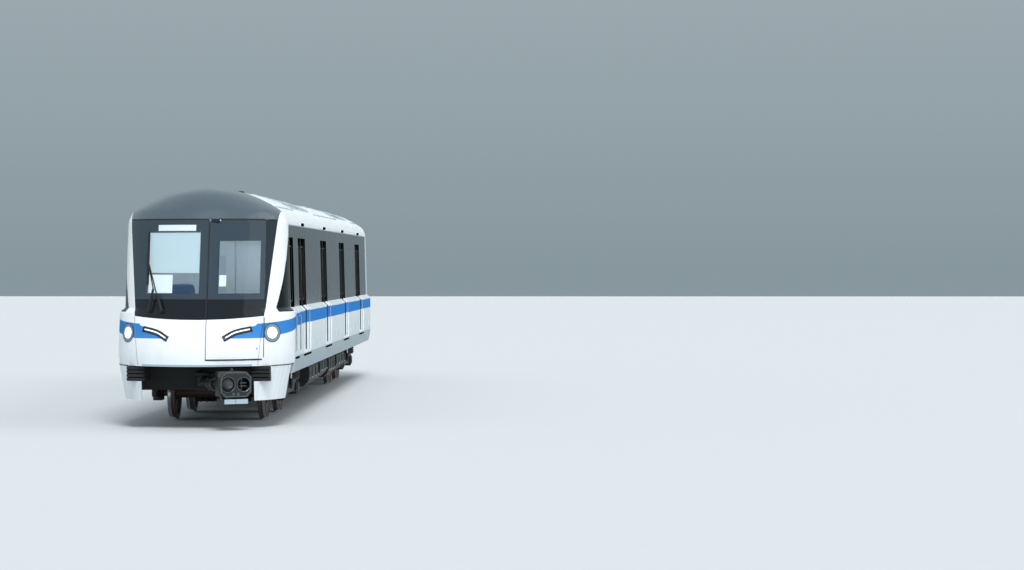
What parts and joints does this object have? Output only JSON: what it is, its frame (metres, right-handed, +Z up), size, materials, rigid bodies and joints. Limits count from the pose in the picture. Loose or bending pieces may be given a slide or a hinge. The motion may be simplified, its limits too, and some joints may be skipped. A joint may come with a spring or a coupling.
{
  "type": "metro train driving car",
  "caption": "Driving car of a metro train: hollow body with sliding pocket doors, raked glazed nose, swivelling bogies on rail wheelsets and a swinging front coupler.",
  "frame": {"origin": "middle of the overall length and width, at the level of the wheels' flange tips", "axes": "+X to the train's own left, +Y from the nose towards the rear, +Z up"},
  "size_m": [2.812, 20.6002, 3.842],
  "materials": {
    "white_paint": "gloss",
    "dark_mask": "gloss",
    "tinted_glass": "gloss",
    "lamp_glass": "gloss",
    "black_paint": "satin",
    "grey_lining": "satin",
    "desk_plastic": "matt",
    "seat_cloth": "woven",
    "bellows_rubber": "matt",
    "bare_steel": "worn"
  },
  "bodies": {
    "car_body": {"side_wall_left": "white_paint", "side_wall_right": "white_paint", "nose_corner_left": "white_paint", "nose_corner_right": "white_paint", "corner_skirt_left": "white_paint", "corner_skirt_right": "white_paint", "front_panel": "white_paint", "roof": "white_paint", "rear_end_wall": "white_paint", "windscreen": "dark_mask", "nose_dome": "dark_mask", "window_band_left": "tinted_glass", "window_band_right": "tinted_glass", "quarter_light_left": "tinted_glass", "quarter_light_right": "tinted_glass", "headlamp_left": "lamp_glass", "headlamp_right": "lamp_glass", "underframe": "black_paint", "windscreen_frame": "black_paint", "headstock": "black_paint", "underfloor_case_1": "black_paint", "underfloor_case_2": "black_paint", "underfloor_case_3": "black_paint", "underfloor_case_4": "black_paint", "cab_partition": "grey_lining", "air_unit_1": "grey_lining", "air_unit_2": "grey_lining", "driver_desk": "desk_plastic", "driver_seat": "seat_cloth", "gangway": "bellows_rubber", "rear_drawbar": "bare_steel"},
    "leaf_1_front_left": {"door_leaf_1_front_left": "white_paint"},
    "leaf_1_rear_left": {"door_leaf_1_rear_left": "white_paint"},
    "leaf_2_front_left": {"door_leaf_2_front_left": "white_paint"},
    "leaf_2_rear_left": {"door_leaf_2_rear_left": "white_paint"},
    "leaf_3_front_left": {"door_leaf_3_front_left": "white_paint"},
    "leaf_3_rear_left": {"door_leaf_3_rear_left": "white_paint"},
    "leaf_4_front_left": {"door_leaf_4_front_left": "white_paint"},
    "leaf_4_rear_left": {"door_leaf_4_rear_left": "white_paint"},
    "leaf_1_front_right": {"door_leaf_1_front_right": "white_paint"},
    "leaf_1_rear_right": {"door_leaf_1_rear_right": "white_paint"},
    "leaf_2_front_right": {"door_leaf_2_front_right": "white_paint"},
    "leaf_2_rear_right": {"door_leaf_2_rear_right": "white_paint"},
    "leaf_3_front_right": {"door_leaf_3_front_right": "white_paint"},
    "leaf_3_rear_right": {"door_leaf_3_rear_right": "white_paint"},
    "leaf_4_front_right": {"door_leaf_4_front_right": "white_paint"},
    "leaf_4_rear_right": {"door_leaf_4_rear_right": "white_paint"},
    "cab_door_left": {"cab_door_left": "white_paint"},
    "cab_door_right": {"cab_door_right": "white_paint"},
    "passage_door": {"passage_door": "grey_lining"},
    "evacuation_door": {"evacuation_door": "white_paint", "evacuation_pane": "dark_mask"},
    "coupler": {"front_coupler": "bare_steel"},
    "bogie_1": {"bogie_frame_1": "black_paint"},
    "wheels_1_front": {"wheelset_1_front": "bare_steel"},
    "wheels_1_rear": {"wheelset_1_rear": "bare_steel"},
    "bogie_2": {"bogie_frame_2": "black_paint"},
    "wheels_2_front": {"wheelset_2_front": "bare_steel"},
    "wheels_2_rear": {"wheelset_2_rear": "bare_steel"}
  },
  "joints": [
    {"name": "doorway_1_left_front", "type": "slide", "parent": "car_body", "child": "leaf_1_front_left", "axis": [0, -1, 0], "range_m": [0, 0.62]},
    {"name": "doorway_1_left_rear", "type": "slide", "parent": "car_body", "child": "leaf_1_rear_left", "axis": [0, 1, 0], "range_m": [0, 0.62]},
    {"name": "doorway_2_left_front", "type": "slide", "parent": "car_body", "child": "leaf_2_front_left", "axis": [0, -1, 0], "range_m": [0, 0.62]},
    {"name": "doorway_2_left_rear", "type": "slide", "parent": "car_body", "child": "leaf_2_rear_left", "axis": [0, 1, 0], "range_m": [0, 0.62]},
    {"name": "doorway_3_left_front", "type": "slide", "parent": "car_body", "child": "leaf_3_front_left", "axis": [0, -1, 0], "range_m": [0, 0.62]},
    {"name": "doorway_3_left_rear", "type": "slide", "parent": "car_body", "child": "leaf_3_rear_left", "axis": [0, 1, 0], "range_m": [0, 0.62]},
    {"name": "doorway_4_left_front", "type": "slide", "parent": "car_body", "child": "leaf_4_front_left", "axis": [0, -1, 0], "range_m": [0, 0.62]},
    {"name": "doorway_4_left_rear", "type": "slide", "parent": "car_body", "child": "leaf_4_rear_left", "axis": [0, 1, 0], "range_m": [0, 0.62]},
    {"name": "doorway_1_right_front", "type": "slide", "parent": "car_body", "child": "leaf_1_front_right", "axis": [0, -1, 0], "range_m": [0, 0.62]},
    {"name": "doorway_1_right_rear", "type": "slide", "parent": "car_body", "child": "leaf_1_rear_right", "axis": [0, 1, 0], "range_m": [0, 0.62]},
    {"name": "doorway_2_right_front", "type": "slide", "parent": "car_body", "child": "leaf_2_front_right", "axis": [0, -1, 0], "range_m": [0, 0.62]},
    {"name": "doorway_2_right_rear", "type": "slide", "parent": "car_body", "child": "leaf_2_rear_right", "axis": [0, 1, 0], "range_m": [0, 0.62]},
    {"name": "doorway_3_right_front", "type": "slide", "parent": "car_body", "child": "leaf_3_front_right", "axis": [0, -1, 0], "range_m": [0, 0.62]},
    {"name": "doorway_3_right_rear", "type": "slide", "parent": "car_body", "child": "leaf_3_rear_right", "axis": [0, 1, 0], "range_m": [0, 0.62]},
    {"name": "doorway_4_right_front", "type": "slide", "parent": "car_body", "child": "leaf_4_front_right", "axis": [0, -1, 0], "range_m": [0, 0.62]},
    {"name": "doorway_4_right_rear", "type": "slide", "parent": "car_body", "child": "leaf_4_rear_right", "axis": [0, 1, 0], "range_m": [0, 0.62]},
    {"name": "cab_door_left_hinge", "type": "hinge", "parent": "car_body", "child": "cab_door_left", "pos_m": [1.285, -7.45523, 1.128], "axis": [0.0499, 0, -0.9988], "range_deg": [0, 85]},
    {"name": "cab_door_right_hinge", "type": "hinge", "parent": "car_body", "child": "cab_door_right", "pos_m": [-1.285, -7.45523, 1.128], "axis": [0.0499, 0, 0.9988], "range_deg": [0, 85]},
    {"name": "passage_door_hinge", "type": "hinge", "parent": "car_body", "child": "passage_door", "pos_m": [-0.352, -7.34123, 1.128], "axis": [0, 0, 1], "range_deg": [0, 90]},
    {"name": "evacuation_door_hinge", "type": "hinge", "parent": "car_body", "child": "evacuation_door", "pos_m": [0.26, -9.38123, 3.294], "axis": [-1, 0, 0], "range_deg": [0, 85]},
    {"name": "coupler_swing", "type": "hinge", "parent": "car_body", "child": "coupler", "pos_m": [0, -9.05523, 0.728], "axis": [0, 0, 1], "range_deg": [-63, 2]},
    {"name": "bogie_1_swivel", "type": "hinge", "parent": "car_body", "child": "bogie_1", "pos_m": [0, -5.75523, 0.628], "axis": [0, 0, 1], "range_deg": [-3, 3]},
    {"name": "wheels_1_front_roll", "type": "hinge", "parent": "bogie_1", "child": "wheels_1_front", "pos_m": [0, -6.85523, 0.448], "axis": [1, 0, 0], "continuous": true},
    {"name": "wheels_1_rear_roll", "type": "hinge", "parent": "bogie_1", "child": "wheels_1_rear", "pos_m": [0, -4.65523, 0.448], "axis": [1, 0, 0], "continuous": true},
    {"name": "bogie_2_swivel", "type": "hinge", "parent": "car_body", "child": "bogie_2", "pos_m": [0, 6.84477, 0.628], "axis": [0, 0, 1], "range_deg": [-3, 3]},
    {"name": "wheels_2_front_roll", "type": "hinge", "parent": "bogie_2", "child": "wheels_2_front", "pos_m": [0, 5.74477, 0.448], "axis": [1, 0, 0], "continuous": true},
    {"name": "wheels_2_rear_roll", "type": "hinge", "parent": "bogie_2", "child": "wheels_2_rear", "pos_m": [0, 7.94477, 0.448], "axis": [1, 0, 0], "continuous": true}
  ],
  "couplings": [
    {"joint": "doorway_1_left_rear", "follows": "doorway_1_left_front", "ratio": 1},
    {"joint": "doorway_2_left_rear", "follows": "doorway_2_left_front", "ratio": 1},
    {"joint": "doorway_3_left_rear", "follows": "doorway_3_left_front", "ratio": 1},
    {"joint": "doorway_4_left_rear", "follows": "doorway_4_left_front", "ratio": 1},
    {"joint": "doorway_1_right_rear", "follows": "doorway_1_right_front", "ratio": 1},
    {"joint": "doorway_2_right_rear", "follows": "doorway_2_right_front", "ratio": 1},
    {"joint": "doorway_3_right_rear", "follows": "doorway_3_right_front", "ratio": 1},
    {"joint": "doorway_4_right_rear", "follows": "doorway_4_right_front", "ratio": 1}
  ]
}
